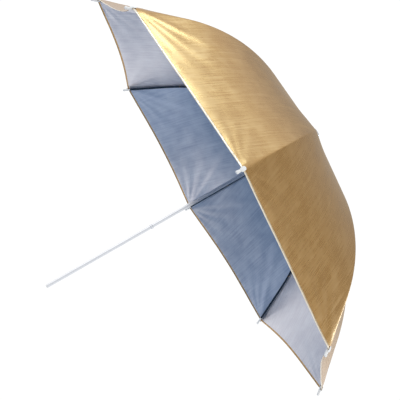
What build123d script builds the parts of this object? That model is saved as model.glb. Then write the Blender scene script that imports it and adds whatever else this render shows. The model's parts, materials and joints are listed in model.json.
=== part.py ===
from build123d import *
import os
from math import cos, degrees, pi, radians, sin

os.makedirs("parts", exist_ok=True)

# An eight-ribbed umbrella reflector, open. The shaft lies along X with the crown at +X, the bowl faces -X,
# and rib 1 points to +Z. The origin is on the shaft's axis, halfway along the stretch that a holder grips.

# driving dimensions, in millimetres and degrees
rib_count = 8
canopy_radius = 500.0  # shaft axis to the canopy's corners
canopy_depth = 278.0  # rib pivots to the plane of the corners
inner_slope = 15.2  # rib at its pivot, measured from square to the shaft
outer_slope = 49.5  # rib at its tip
inner_run = 205.0  # straight length of a rib before it curves
fold_angle = 59.0  # how far a rib turns to close
arm_length = 195.0  # rib pivot to stretcher joint, and the stretcher between its own pivots
pitch_radius = 9.0  # shaft axis to the pivots in the notch and the runner

shaft_radius = 4.0
shaft_wall = 0.6
crown_height = 9.0  # rib pivots to the top of the crown cap
crown_radius = 11.5
tube_above = 6.5  # rib pivots to the top of the tube, inside the crown cap
rosette_radius = 20.0
rosette_drop = 3.4  # edge of the rosette below its flat middle
rosette_thickness = 1.0
shaft_length = 695.0  # free end to the top of the crown cap
end_plug_head = 3.0
end_plug_stem = 12.0
end_plug_rounding = 1.2
stop_ring_length = 5.0
stop_ring_radius = 5.4
stop_groove_depth = 0.3
stop_ring_chamfer = 0.5
stop_pin_radius = 1.0
stop_pin_length = 11.6
stop_pin_turn = 112.5  # about the shaft, between two stretchers
notch_pin_radius = 0.8
notch_pin_turn = 67.5  # about the shaft, between two ribs
notch_pin_drop = 4.2  # below the rib pivots

rib_width = 3.2
rib_height = 3.0
sheet_steel = 0.5
eye_thickness = 1.2
eye_radius = 1.8
eye_hole_radius = 0.72
wire_radius = 0.6
rib_eye_length = 9.0  # flat end, from the pivot to the channel
crimp_length = 3.0  # where a flat end widens into its channel
rib_overrun = 7.0  # steel past the canopy's corner, inside the tip
tip_gap = 0.6  # between the canopy's corner and the tip
tip_length = 14.5
tip_radius = 3.3

stretcher_width = 5.0
stretcher_height = 4.0
stretcher_web_gap = 9.0  # web cut back from the joint with the rib
stretcher_tongue = 17.0
rivet_radius = 0.9
rivet_head_radius = 1.7
rivet_head_height = 0.6
rivet_play = 0.1  # under each head
running_clearance = 0.06
hook_clearance = 0.15
hook_mouth_length = 9.0
hook_mouth_rise = 1.8

notch_radius = 11.2
notch_below = 6.0
notch_above = 4.0
collar_radius = 11.5
collar_half = 4.0
sleeve_radius = 6.5
sleeve_length = 45.0  # below the collar's middle
bore_clearance = 0.1
slot_width = 2.0
slot_floor = 6.6
rest_gap = 0.5  # between the open runner and what stops it

catch_length = 20.0  # pivot to the end that holds the runner
catch_proud = 6.2  # shaft axis to the catch's corner
catch_thickness = 1.2
catch_flat = 1.2  # top of the catch, along the shaft
catch_pin_radius = 0.8
catch_slot_width = 1.7
catch_slot_room = 1.3  # past the catch's end, for its swing

cloth_thickness = 0.6
cloth_lift = 2.6  # inner face of the cloth above the rib's centre line
cloth_start_radius = 13.0
cloth_gap = 0.3  # between neighbouring canopy panels
hem_pull_in = 11.0  # cloth drawn in towards the bowl, halfway along a hem
hem_scallop = 16.0  # hem drawn up along the canopy, halfway between two corners

# places along the shaft
half_panel_angle = pi / rib_count
groove_radius = shaft_radius - stop_groove_depth
open_drop = 2 * arm_length * sin(radians(inner_slope))  # notch to runner, open
closed_drop = 2 * arm_length * sin(radians(inner_slope + fold_angle))
below_rim = shaft_length - crown_height - canopy_depth  # rim plane to the free end
ring_below_rim = closed_drop - canopy_depth + sleeve_length + rest_gap + stop_ring_length
grip_length = below_rim - end_plug_head - ring_below_rim
rim_x = grip_length / 2 + ring_below_rim
notch_x = rim_x + canopy_depth
runner_x = notch_x - open_drop
free_end_x = rim_x - below_rim
tube_start_x = free_end_x + end_plug_head
ring_start_x = rim_x - ring_below_rim
tube_top_x = notch_x + tube_above
catch_tip_x = runner_x - sleeve_length - rest_gap
catch_pivot_x = catch_tip_x - catch_length
stop_pin_x = runner_x + collar_half + stop_pin_radius + rest_gap
notch_pin_x = notch_x - notch_pin_drop

# the rib's centre line: straight, a tangent arc, straight again, from its pivot to the canopy's corner
reach = canopy_radius - pitch_radius
slope_in, slope_out = radians(inner_slope), radians(outer_slope)
left_reach = reach - inner_run * cos(slope_in)
left_depth = canopy_depth - inner_run * sin(slope_in)
arc_reach, arc_depth = sin(slope_out) - sin(slope_in), cos(slope_in) - cos(slope_out)
determinant = arc_reach * sin(slope_out) - arc_depth * cos(slope_out)
rib_arc_radius = (left_reach * sin(slope_out) - left_depth * cos(slope_out)) / determinant
outer_run = (arc_reach * left_depth - arc_depth * left_reach) / determinant
arc_length = rib_arc_radius * (slope_out - slope_in)
rib_length = inner_run + arc_length + outer_run


def rib_point(length, lift=0.0):
    """Radius, place along the shaft and slope at a length along the rib, lifted off its centre line."""
    straight = min(length, inner_run)
    turned = min(max(length - inner_run, 0.0), arc_length) / rib_arc_radius
    beyond = max(length - inner_run - arc_length, 0.0)
    slope = slope_in + turned
    radius = pitch_radius + straight * cos(slope_in) + rib_arc_radius * (sin(slope) - sin(slope_in))
    depth = straight * sin(slope_in) + rib_arc_radius * (cos(slope_in) - cos(slope))
    radius += beyond * cos(slope_out) + lift * sin(slope)
    depth += beyond * sin(slope_out) - lift * cos(slope)
    return radius, notch_x - depth, slope


def on_rib(index, shape):
    """Turn a shape made on rib 1's side to the side of another rib."""
    return Rot(360.0 / rib_count * (index - 1), 0, 0) * shape


def along_x(radius, start, end):
    """A solid rod on the shaft's axis between two places along it."""
    return Pos((start + end) / 2, 0, 0) * Rot(0, 90, 0) * Cylinder(radius, end - start)


def cross_rod(radius, length, x, z=0.0, spin=0.0):
    """A rod square to the shaft, along Y before it is spun about the shaft's axis."""
    return Rot(spin, 0, 0) * Pos(x, 0, z) * Rot(90, 0, 0) * Cylinder(radius, length)


def slots(floor, start, end, width):
    """One radial slot for each rib, from a floor radius outwards."""
    depth = 2 * collar_radius
    slot = Pos((start + end) / 2, 0, floor + depth / 2) * Box(end - start, width, depth)
    return [on_rib(index, slot) for index in range(1, rib_count + 1)]


def wire_ring(x):
    """The wire on which eight flattened ends hang."""
    return Pos(x, 0, 0) * Rot(0, 90, 0) * Torus(pitch_radius, wire_radius)


def bar_plane(origin, angle):
    """A working plane whose X runs along a bar at an angle from the radius, with Y towards the crown."""
    direction = Vector(sin(radians(angle)), 0, cos(radians(angle)))
    return Plane(origin=origin, x_dir=direction, z_dir=Vector(0, 1, 0))


# ---- shaft
def shaft_tube():
    tube = along_x(shaft_radius, tube_start_x, tube_top_x)
    tube -= along_x(shaft_radius - shaft_wall, tube_start_x, tube_top_x)
    groove = along_x(shaft_radius + 1, ring_start_x, ring_start_x + stop_ring_length)
    tube -= groove - along_x(groove_radius, ring_start_x, ring_start_x + stop_ring_length)
    slot_start, slot_end = catch_pivot_x - crimp_length, catch_tip_x + catch_slot_room
    slot = Box(slot_end - slot_start, catch_slot_width, 2 * shaft_radius)
    tube -= Pos((slot_start + slot_end) / 2, 0, shaft_radius) * slot
    through = 3 * shaft_radius
    tube -= cross_rod(catch_pin_radius, through, catch_pivot_x)
    tube -= cross_rod(stop_pin_radius, through, stop_pin_x, spin=stop_pin_turn)
    tube -= cross_rod(notch_pin_radius, through, notch_pin_x, spin=notch_pin_turn)
    return tube


def shaft_end_plug():
    bore = shaft_radius - shaft_wall
    head = along_x(shaft_radius, free_end_x, tube_start_x)
    head = fillet(head.edges().group_by(Axis.X)[0], end_plug_rounding)
    return head + along_x(bore, tube_start_x, tube_start_x + end_plug_stem)


def lower_stop_ring():
    ring = along_x(stop_ring_radius, ring_start_x, ring_start_x + stop_ring_length)
    ring = chamfer(ring.edges(), stop_ring_chamfer)
    return ring - along_x(groove_radius, ring_start_x, ring_start_x + stop_ring_length)


def upper_stop_pin():
    return cross_rod(stop_pin_radius, stop_pin_length, stop_pin_x, spin=stop_pin_turn)


def notch_pin():
    return cross_rod(notch_pin_radius, 2 * notch_radius - 1.0, notch_pin_x, spin=notch_pin_turn)


def catch_pin():
    return cross_rod(catch_pin_radius, 2 * shaft_radius - 0.3, catch_pivot_x)


def catch_lever():
    base = catch_pivot_x
    tip = catch_tip_x
    with BuildPart() as blade:
        with BuildSketch(Plane.XZ):
            with BuildLine():
                Polyline(
                    (base - 1.9, -1.7),
                    (tip, 0.4),
                    (tip, catch_proud),
                    (tip - catch_flat, catch_proud),
                    (base + 5.0, 2.6),
                    (base - 1.9, 1.7),
                    close=True,
                )
            make_face()
        extrude(amount=catch_thickness / 2, both=True)
    hole = catch_pin_radius + running_clearance
    return blade.part - cross_rod(hole, 3 * catch_thickness, base)


# ---- crown
def top_notch():
    hub = along_x(notch_radius, notch_x - notch_below, notch_x + notch_above)
    hub = fillet(hub.edges().group_by(Axis.X)[0], 1.5)
    hub -= along_x(shaft_radius, notch_x - notch_below, notch_x + notch_above)
    for slot in slots(slot_floor, notch_x - notch_below - 1, notch_x + eye_radius + 0.4, slot_width):
        hub -= slot
    hub -= wire_ring(notch_x)
    return hub - cross_rod(notch_pin_radius, 3 * notch_radius, notch_pin_x, spin=notch_pin_turn)


def canopy_rosette():
    base = notch_x + notch_above
    flat_radius = crown_radius + 0.5
    with BuildPart() as patch:
        with BuildSketch(Plane.XZ):
            with BuildLine():
                Polyline(
                    (base, shaft_radius),
                    (base, flat_radius),
                    (base - rosette_drop, rosette_radius),
                    (base - rosette_drop + rosette_thickness, rosette_radius + 0.4),
                    (base + rosette_thickness, flat_radius + 0.2),
                    (base + rosette_thickness, shaft_radius),
                    close=True,
                )
            make_face()
        revolve(axis=Axis.X)
    return patch.part


def crown_cap():
    base = notch_x + notch_above + rosette_thickness
    top = notch_x + crown_height
    cap = along_x(crown_radius, base, top)
    cap = fillet(cap.edges().group_by(Axis.X)[-1], 0.75 * (top - base))
    return cap - along_x(shaft_radius, base, tube_top_x)


# ---- runner
def runner_sleeve():
    start, top = runner_x - sleeve_length, runner_x + collar_half
    sleeve = along_x(sleeve_radius, start, top)
    sleeve = fillet(sleeve.edges().group_by(Axis.X)[0], 0.8)
    collar = along_x(collar_radius, runner_x - collar_half, top)
    collar = chamfer(collar.edges(), 0.8)
    sleeve += collar
    sleeve -= along_x(shaft_radius + bore_clearance, start - 1, top + 1)
    for slot in slots(slot_floor, runner_x - collar_half - 1, top + 1, slot_width):
        sleeve -= slot
    keyway = Box(top - start + 2, slot_width, slot_floor)
    keyway = Pos((start + top) / 2, 0, slot_floor / 2 + 0.4) * keyway
    return sleeve - keyway - wire_ring(runner_x)


# ---- ribs
def rib_path():
    """Centre line of rib 1, from the end of its eye to inside its tip."""
    start = rib_point(rib_eye_length)
    bend_start, bend_middle = rib_point(inner_run), rib_point(inner_run + arc_length / 2)
    bend_end, end = rib_point(inner_run + arc_length), rib_point(rib_length + rib_overrun)
    line_in = Edge.make_line((start[1], 0, start[0]), (bend_start[1], 0, bend_start[0]))
    bend = Edge.make_three_point_arc(
        (bend_start[1], 0, bend_start[0]),
        (bend_middle[1], 0, bend_middle[0]),
        (bend_end[1], 0, bend_end[0]),
    )
    line_out = Edge.make_line((bend_end[1], 0, bend_end[0]), (end[1], 0, end[0]))
    return Wire([line_in, bend, line_out])


def channel(width, height, web_side):
    """Section of a folded steel channel, with its web on one side of the middle."""
    section = Rectangle(width, height)
    hollow = Pos(0, -web_side * sheet_steel) * Rectangle(width - 2 * sheet_steel, height)
    return section - hollow


def flattened_eye(plane, length, height, full_width, crimp):
    """The flat end of a bar with its eye at the plane's origin, and the crimp where the channel begins."""
    tongue = Pos((length + crimp) / 2, 0, 0) * Box(length + crimp, height, eye_thickness)
    tongue += Cylinder(height / 2, eye_thickness)
    tongue += Pos(length + crimp / 2, 0, 0) * Box(crimp, height, full_width)
    return plane * tongue


def rib():
    pivot = rib_point(0)
    path = rib_path()
    tangent = path.tangent_at(0)
    section_plane = Plane(origin=path.position_at(0), x_dir=(0, 1, 0), z_dir=tangent)
    outward = section_plane.y_dir.dot(Vector(1, 0, 0.3))
    web_side = 1 if outward > 0 else -1
    bar = sweep(section_plane * channel(rib_width, rib_height, web_side), path=path)
    plane = bar_plane((pivot[1], 0, pivot[0]), -inner_slope)
    bar += flattened_eye(plane, rib_eye_length, rib_height, rib_width, crimp_length)
    bar -= plane * Cylinder(eye_hole_radius, 4 * eye_thickness)
    joint = rib_point(arm_length)
    return bar - cross_rod(rivet_radius, 3 * rib_width, joint[1], joint[0])


def rib_tip():
    radius, x, slope = rib_point(rib_length + tip_gap)
    plane = bar_plane((x, 0, radius), -degrees(slope))
    body = Pos(tip_length / 2, 0, 0) * Rot(0, 90, 0) * Cylinder(tip_radius, tip_length)
    body = fillet(body.edges().group_by(Axis.X)[-1], 0.8 * tip_radius)
    body = fillet(body.edges().group_by(Axis.X)[0], 0.2 * tip_radius)
    pocket_length = rib_overrun - tip_gap
    pocket = Pos(pocket_length / 2, 0, 0) * Box(pocket_length, rib_height, rib_width)
    return plane * (body - pocket)


def rib_rivet():
    radius, x, _ = rib_point(arm_length)
    shank_length = stretcher_width + 2 * rivet_play
    pin = cross_rod(rivet_radius, shank_length, x, radius)
    head = cross_rod(rivet_head_radius, rivet_head_height, x, radius)
    for side in (-1, 1):
        pin += Pos(0, side * (shank_length + rivet_head_height) / 2, 0) * head
    return pin


def stretcher():
    plane = bar_plane((runner_x, 0, pitch_radius), inner_slope)
    start = stretcher_tongue
    bar_length = arm_length - start
    bar = Pos(start + bar_length / 2, 0, 0) * Box(bar_length, stretcher_height, stretcher_width)
    bar += Pos(arm_length, 0, 0) * Cylinder(stretcher_height / 2, stretcher_width)
    hollow_start = start + crimp_length
    hollow_length = arm_length + stretcher_height - hollow_start
    inside = stretcher_width - 2 * sheet_steel
    bar -= Pos(hollow_start + hollow_length / 2, sheet_steel, 0) * Box(
        hollow_length, stretcher_height, inside
    )
    gap = stretcher_web_gap + stretcher_height
    bar -= Pos(arm_length - stretcher_web_gap + gap / 2, 0, 0) * Box(gap, 2 * stretcher_height, inside)
    bar += Pos(start / 2, 0, 0) * Box(start, 2 * eye_radius, eye_thickness)
    bar += Cylinder(eye_radius, eye_thickness)
    bar -= hook_opening()
    bar -= Pos(arm_length, 0, 0) * Cylinder(rivet_radius + running_clearance, 3 * stretcher_width)
    return plane * bar


def hook_opening():
    """The mouth through which the runner's wire leaves the hooked end of a stretcher."""
    room = wire_radius + hook_clearance
    with BuildPart() as mouth:
        with BuildSketch():
            with BuildLine():
                Polyline(
                    (-room, 0),
                    (room / 3, -room),
                    (hook_mouth_length, hook_mouth_rise),
                    (hook_mouth_length, stretcher_height),
                    (-room, stretcher_height),
                    close=True,
                )
            make_face()
            Circle(room)
        extrude(amount=2 * eye_thickness, both=True)
    return mouth.part


# ---- canopy
def panel_point(length_share, across):
    """A point of the cloth: share of the way down the rib, and from 0 on the rib to 1 at the panel's side."""
    ease = across * (2 - across)
    first_length = (cloth_start_radius - pitch_radius) / cos(slope_in)
    last_length = rib_length - hem_scallop * ease
    rib_radius, x, slope = rib_point(first_length + (last_length - first_length) * length_share, cloth_lift)
    angle = (half_panel_angle - cloth_gap / 2 / rib_radius) * across
    pull = hem_pull_in * (rib_radius / canopy_radius) ** 1.5 * ease
    radius = rib_radius * cos(half_panel_angle) / cos(half_panel_angle - angle) - pull * sin(slope)
    return Vector(x - pull * cos(slope), radius * sin(angle), radius * cos(angle))


def canopy_panel():
    """Rib 1's share of the canopy, creased along the rib: half the cloth to each of its neighbours."""
    rows, columns = 17, 9
    crease_overlap = 0.05
    grid = []
    for row in range(rows):
        across = [-crease_overlap + (1 + crease_overlap) * column / (columns - 1) for column in range(columns)]
        grid.append([panel_point(row / (rows - 1), step) for step in across])
    surface = Face.make_surface_from_array_of_points(grid, tol=0.02, min_deg=3, max_deg=3)
    half = Solid.thicken(surface, cloth_thickness, normal_override=(1, 0, 1))
    half = split(half, bisect_by=Plane.XZ, keep=Keep.BOTTOM)
    return half + mirror(half, about=Plane.XZ)


def write(name, shape):
    """Save one piece under its node's name."""
    solids = shape.solids()
    piece = solids[0] if len(solids) == 1 else Compound(children=solids)
    piece.label = name
    export_step(piece, f"parts/{name}.step")


write("shaft_tube", shaft_tube())
write("shaft_end_plug", shaft_end_plug())
write("lower_stop_ring", lower_stop_ring())
write("upper_stop_pin", upper_stop_pin())
write("notch_pin", notch_pin())
write("catch_pin", catch_pin())
write("catch_lever", catch_lever())
write("top_notch", top_notch())
write("notch_wire", wire_ring(notch_x))
write("canopy_rosette", canopy_rosette())
write("crown_cap", crown_cap())
write("runner_sleeve", runner_sleeve())
write("runner_wire", wire_ring(runner_x))

repeated = {
    "rib": rib(),
    "rib_tip": rib_tip(),
    "rib_rivet": rib_rivet(),
    "stretcher": stretcher(),
    "canopy_panel": canopy_panel(),
}
for name, shape in repeated.items():
    for index in range(1, rib_count + 1):
        write(f"{name}_{index}", on_rib(index, shape))
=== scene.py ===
import json
import logging
import math
from dataclasses import dataclass, field
from enum import Enum
from typing import Any, Sequence

import bmesh
import bpy
import numpy as np
from mathutils import Matrix, Vector, noise


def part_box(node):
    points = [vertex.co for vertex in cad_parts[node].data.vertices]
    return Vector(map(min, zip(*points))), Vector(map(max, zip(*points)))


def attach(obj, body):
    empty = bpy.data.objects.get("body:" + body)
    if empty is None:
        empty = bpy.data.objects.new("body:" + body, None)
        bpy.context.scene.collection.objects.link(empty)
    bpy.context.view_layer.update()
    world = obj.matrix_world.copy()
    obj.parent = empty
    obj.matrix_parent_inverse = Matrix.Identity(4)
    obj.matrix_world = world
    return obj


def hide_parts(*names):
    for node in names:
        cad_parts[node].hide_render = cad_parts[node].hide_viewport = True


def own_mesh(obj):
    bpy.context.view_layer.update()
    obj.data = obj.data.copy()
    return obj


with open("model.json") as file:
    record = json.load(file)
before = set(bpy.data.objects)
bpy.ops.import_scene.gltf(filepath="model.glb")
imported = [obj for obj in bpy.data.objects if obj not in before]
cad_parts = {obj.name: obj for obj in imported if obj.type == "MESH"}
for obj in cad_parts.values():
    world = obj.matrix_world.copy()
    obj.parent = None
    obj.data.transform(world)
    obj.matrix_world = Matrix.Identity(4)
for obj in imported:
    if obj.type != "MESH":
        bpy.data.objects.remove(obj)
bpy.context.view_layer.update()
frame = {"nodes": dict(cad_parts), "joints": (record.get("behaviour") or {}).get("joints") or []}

# An open eight-ribbed studio umbrella: gold cloth outside, silver inside, on blackened steel ribs and a plated
# shaft. Metres throughout. The shaft lies along X with the crown at +X, and rib 1 points to +Z.

LOG = logging.getLogger("umbrella")
MM = 0.001
RIB_COUNT = 8
RIB_TURN = math.tau / RIB_COUNT  # from one rib to the next
SHARP_EDGE = math.radians(50)


# ---------------------------------------------------------------- small tools


def linear(hex_colour: str) -> tuple[float, float, float, float]:
    """Turn an sRGB hex colour into the linear colour that shaders take.

    Args:
        hex_colour: Six hex digits with a leading #.

    Returns:
        Red, green, blue and an alpha of 1.
    """
    parts = [int(hex_colour[i : i + 2], 16) / 255 for i in (1, 3, 5)]
    red, green, blue = [c / 12.92 if c <= 0.04045 else ((c + 0.055) / 1.055) ** 2.4 for c in parts]
    return red, green, blue, 1.0


def add_node(
    tree: bpy.types.NodeTree,
    kind: str,
    settings: dict[str, Any] | None = None,
    inputs: dict[str | int, Any] | None = None,
) -> bpy.types.Node:
    """Add a node, set its properties and fill its inputs.

    Args:
        tree: The tree that gets the node.
        kind: The node's type name.
        settings: Property names and their values.
        inputs: Input names or numbers, each with a value or with another node's output socket.

    Returns:
        The new node.
    """
    node = tree.nodes.new(kind)
    for name, value in (settings or {}).items():
        setattr(node, name, value)
    for key, value in (inputs or {}).items():
        if isinstance(value, bpy.types.NodeSocket):
            tree.links.new(value, node.inputs[key])
        else:
            node.inputs[key].default_value = value
    return node


def smoothstep(value: np.ndarray) -> np.ndarray:
    """Ease from 0 to 1 with flat ends."""
    clipped = np.clip(value, 0.0, 1.0)
    return clipped * clipped * (3 - 2 * clipped)


def turned(points: np.ndarray, rib: int) -> np.ndarray:
    """Turn points made on rib 1's side about the shaft to another rib's side.

    Args:
        points: Points in their last axis.
        rib: The rib's number, from 1.

    Returns:
        The turned points, in the same shape.
    """
    turn = Matrix.Rotation(RIB_TURN * (rib - 1), 3, "X")
    return points @ np.array(turn).T


def mesh_object(
    name: str,
    vertices: np.ndarray,
    faces: Sequence[Sequence[int]],
    materials: Sequence[bpy.types.Material],
    smooth: bool = True,
) -> bpy.types.Object:
    """Make a mesh object at the origin, with its place in its vertices.

    Args:
        name: The piece's name.
        vertices: Its points, one row each.
        faces: Indices of each face's corners.
        materials: Its materials, in slot order.
        smooth: Whether its faces are shaded smooth.

    Returns:
        The object, linked to the scene.
    """
    mesh = bpy.data.meshes.new(name)
    mesh.from_pydata(np.asarray(vertices, float).reshape(-1, 3).tolist(), [], [list(f) for f in faces])
    mesh.validate()
    mesh.update()
    mesh.polygons.foreach_set("use_smooth", [smooth] * len(mesh.polygons))
    made = bpy.data.objects.new(name, mesh)
    bpy.context.scene.collection.objects.link(made)
    for material in materials:
        mesh.materials.append(material)
    return made


def grid_faces(rows: int, columns: int, start: int = 0, flip: bool = False) -> list[tuple[int, ...]]:
    """List the quads of a grid of points stored row by row.

    Args:
        rows: Number of rows of points.
        columns: Number of points in a row.
        start: Index of the first point.
        flip: Whether the faces point the other way.

    Returns:
        Four indices for each quad.
    """
    quads = []
    for row in range(rows - 1):
        for column in range(columns - 1):
            corner = start + row * columns + column
            quad = (corner, corner + 1, corner + columns + 1, corner + columns)
            quads.append(quad[::-1] if flip else quad)
    return quads


def loop_tube(rings: np.ndarray, capped: bool = True) -> tuple[np.ndarray, list[tuple[int, ...]]]:
    """Skin a row of closed rings into a tube.

    Args:
        rings: Rings by points by three coordinates.
        capped: Whether both ends are closed.

    Returns:
        The points and the faces.
    """
    count, around = rings.shape[:2]
    faces: list[tuple[int, ...]] = []
    for ring in range(count - 1):
        here, there = ring * around, (ring + 1) * around
        for step in range(around):
            following = (step + 1) % around
            faces.append((here + step, here + following, there + following, there + step))
    if capped:
        faces.append(tuple(reversed(range(around))))
        faces.append(tuple((count - 1) * around + step for step in range(around)))
    return rings.reshape(-1, 3), faces


def outward(piece: bpy.types.Object) -> bpy.types.Object:
    """Turn all faces of a closed piece outwards, and keep its sharp edges from being shaded round.

    Args:
        piece: The piece.

    Returns:
        The same piece.
    """
    shell = bmesh.new()
    shell.from_mesh(piece.data)
    bmesh.ops.recalc_face_normals(shell, faces=shell.faces)
    shell.to_mesh(piece.data)
    shell.free()
    piece.data.set_sharp_from_angle(angle=SHARP_EDGE)
    return piece


def lathe(profile: Sequence[tuple[float, float]], sides: int) -> tuple[np.ndarray, list[tuple[int, ...]]]:
    """Turn a profile about the local X axis.

    Args:
        profile: Pairs of place along the axis and radius, first and last of them on or near the axis.
        sides: Number of faces around.

    Returns:
        The points and the faces.
    """
    angles = np.linspace(0, math.tau, sides, endpoint=False)
    rings = np.array([[(x, r * math.cos(a), r * math.sin(a)) for a in angles] for x, r in profile])
    return loop_tube(rings)


# ---------------------------------------------------------------- finishes


class Pattern(Enum):
    """What breaks up a hard finish."""

    DRAWN = "fine lines along the shaft"
    MOULDED = "fine even grain"
    BLACKENED = "patchy oxide"


def new_material(name: str) -> tuple[bpy.types.Material, bpy.types.NodeTree, bpy.types.Node]:
    """Make an empty node material.

    Args:
        name: The material's name.

    Returns:
        The material, its tree and its Principled node.
    """
    material = bpy.data.materials.new(name)
    material.use_nodes = True
    tree = material.node_tree
    tree.nodes.clear()
    shader = add_node(tree, "ShaderNodeBsdfPrincipled")
    add_node(tree, "ShaderNodeOutputMaterial", inputs={"Surface": shader.outputs["BSDF"]})
    return material, tree, shader


def ramp_between(
    tree: bpy.types.NodeTree,
    shader: bpy.types.Node,
    share: bpy.types.NodeSocket,
    stops: Sequence[tuple[float, str]],
) -> None:
    """Colour a shader's base from a pattern.

    Args:
        tree: The material's tree.
        shader: Its Principled node.
        share: The pattern, from 0 to 1.
        stops: Places on the ramp, in order, and their colours as sRGB hex strings.
    """
    ramp = add_node(tree, "ShaderNodeValToRGB", inputs={"Fac": share})
    elements = ramp.color_ramp.elements
    for _ in stops[2:]:
        elements.new(0.5)
    for element, (position, hex_colour) in zip(elements, stops):
        element.position = position
        element.color = linear(hex_colour)
    tree.links.new(ramp.outputs["Color"], shader.inputs["Base Color"])


def gloss_between(
    tree: bpy.types.NodeTree,
    shader: bpy.types.Node,
    share: bpy.types.NodeSocket,
    smoothest: float,
    roughest: float,
) -> None:
    """Vary a shader's roughness with a pattern.

    Args:
        tree: The material's tree.
        shader: Its Principled node.
        share: The pattern, which stays near 0.5.
        smoothest: Roughness where the pattern is low.
        roughest: Roughness where it is high.
    """
    gloss = add_node(
        tree,
        "ShaderNodeMapRange",
        inputs={"Value": share, "From Min": 0.3, "From Max": 0.7, "To Min": smoothest, "To Max": roughest},
    )
    tree.links.new(gloss.outputs["Result"], shader.inputs["Roughness"])


@dataclass(frozen=True)
class MetallisedCloth:
    """Polyester taffeta with a vapour-deposited metal face: a satin mirror broken by weave and handling."""

    name: str
    mid: str
    light: str
    dark: str
    roughness: float
    lacquer: float
    thread_mm: float = 1.1  # real threads are near 0.2 mm, and are drawn coarser so that they show up close
    streak_width_mm: float = 3.0
    streak_length_mm: float = 90.0
    crush_mm: float = 38.0

    def material(self) -> bpy.types.Material:
        """Build the finish. Its colour, gloss and relief follow the cloth's own UV map, in metres.

        Returns:
            The material.
        """
        material, tree, shader = new_material(self.name)
        place = add_node(tree, "ShaderNodeUVMap", {"uv_map": "cloth"}).outputs["UV"]
        streak_scale = (1 / (self.streak_width_mm * MM), 1 / (self.streak_length_mm * MM), 1.0)
        along = add_node(tree, "ShaderNodeMapping", inputs={"Vector": place, "Scale": streak_scale})
        streaks = add_node(
            tree,
            "ShaderNodeTexNoise",
            {"noise_dimensions": "2D"},
            {"Vector": along.outputs["Vector"], "Scale": 1.0, "Detail": 3.0, "Roughness": 0.5, "Distortion": 0.5},
        )
        crush = add_node(
            tree,
            "ShaderNodeTexNoise",
            {"noise_dimensions": "2D"},
            {"Vector": place, "Scale": 1 / (self.crush_mm * MM), "Detail": 5.0, "Roughness": 0.55},
        )
        both = add_node(
            tree,
            "ShaderNodeMix",
            {"data_type": "FLOAT"},
            {0: 0.45, 2: streaks.outputs["Fac"], 3: crush.outputs["Fac"]},
        )
        ramp_between(tree, shader, both.outputs[0], [(0.36, self.dark), (0.5, self.mid), (0.66, self.light)])
        gloss_between(tree, shader, both.outputs[0], self.roughness - 0.06, self.roughness + 0.08)
        tree.links.new(self.relief(tree, place, streaks, crush), shader.inputs["Normal"])
        shader.inputs["Metallic"].default_value = 1.0
        shader.inputs["Coat Weight"].default_value = self.lacquer
        shader.inputs["Coat Roughness"].default_value = 0.3
        return material

    def relief(
        self,
        tree: bpy.types.NodeTree,
        place: bpy.types.NodeSocket,
        streaks: bpy.types.Node,
        crush: bpy.types.Node,
    ) -> bpy.types.NodeSocket:
        """Lay the weave over the streaks over the crushed marks.

        Args:
            tree: The material's tree.
            place: The cloth's own coordinates, in metres.
            streaks: The noise that is drawn out along the warp.
            crush: The broad noise.

        Returns:
            The bumped normal.
        """
        waves = []
        for direction in ("X", "Y"):
            waves.append(
                add_node(
                    tree,
                    "ShaderNodeTexWave",
                    {"wave_type": "BANDS", "bands_direction": direction, "wave_profile": "SIN"},
                    {"Vector": place, "Scale": math.tau / 20 / (self.thread_mm * MM), "Distortion": 0.0},
                )
            )
        weave = add_node(
            tree,
            "ShaderNodeMath",
            {"operation": "MULTIPLY"},
            {0: waves[0].outputs["Fac"], 1: waves[1].outputs["Fac"]},
        )
        layers = [
            (crush.outputs["Fac"], 0.3, 0.8 * MM),
            (streaks.outputs["Fac"], 0.14, 0.12 * MM),
            (weave.outputs[0], 0.12, 0.1 * MM),
        ]
        below: dict[str | int, Any] = {}
        for height, strength, distance in layers:
            bump = add_node(
                tree,
                "ShaderNodeBump",
                inputs={"Strength": strength, "Distance": distance, "Height": height, **below},
            )
            below = {"Normal": bump.outputs["Normal"]}
        return below["Normal"]


@dataclass(frozen=True)
class HardFinish:
    """A metal or a plastic: a colour, a gloss and the marks that its making leaves."""

    name: str
    colour: str
    worn: str
    metallic: float
    roughness: float
    pattern: Pattern
    grain_mm: float

    def material(self) -> bpy.types.Material:
        """Build the finish on the piece's own coordinates, in metres.

        Returns:
            The material.
        """
        material, tree, shader = new_material(self.name)
        place = add_node(tree, "ShaderNodeTexCoord").outputs["Object"]
        stretch = 0.02 if self.pattern is Pattern.DRAWN else 1.0
        grain = 1 / (self.grain_mm * MM)
        mapped = add_node(
            tree,
            "ShaderNodeMapping",
            inputs={"Vector": place, "Scale": (grain * stretch, grain, grain)},
        )
        marks = add_node(
            tree,
            "ShaderNodeTexNoise",
            inputs={"Vector": mapped.outputs["Vector"], "Scale": 1.0, "Detail": 5.0, "Roughness": 0.6},
        )
        edges = (0.45, 0.75) if self.pattern is Pattern.BLACKENED else (0.3, 0.9)
        ramp_between(tree, shader, marks.outputs["Fac"], [(edges[0], self.colour), (edges[1], self.worn)])
        gloss_between(tree, shader, marks.outputs["Fac"], max(self.roughness - 0.05, 0.02), self.roughness + 0.08)
        relief = add_node(
            tree,
            "ShaderNodeBump",
            inputs={"Strength": 0.25, "Distance": 0.03 * MM, "Height": marks.outputs["Fac"]},
        )
        tree.links.new(relief.outputs["Normal"], shader.inputs["Normal"])
        shader.inputs["Metallic"].default_value = self.metallic
        return material


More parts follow.
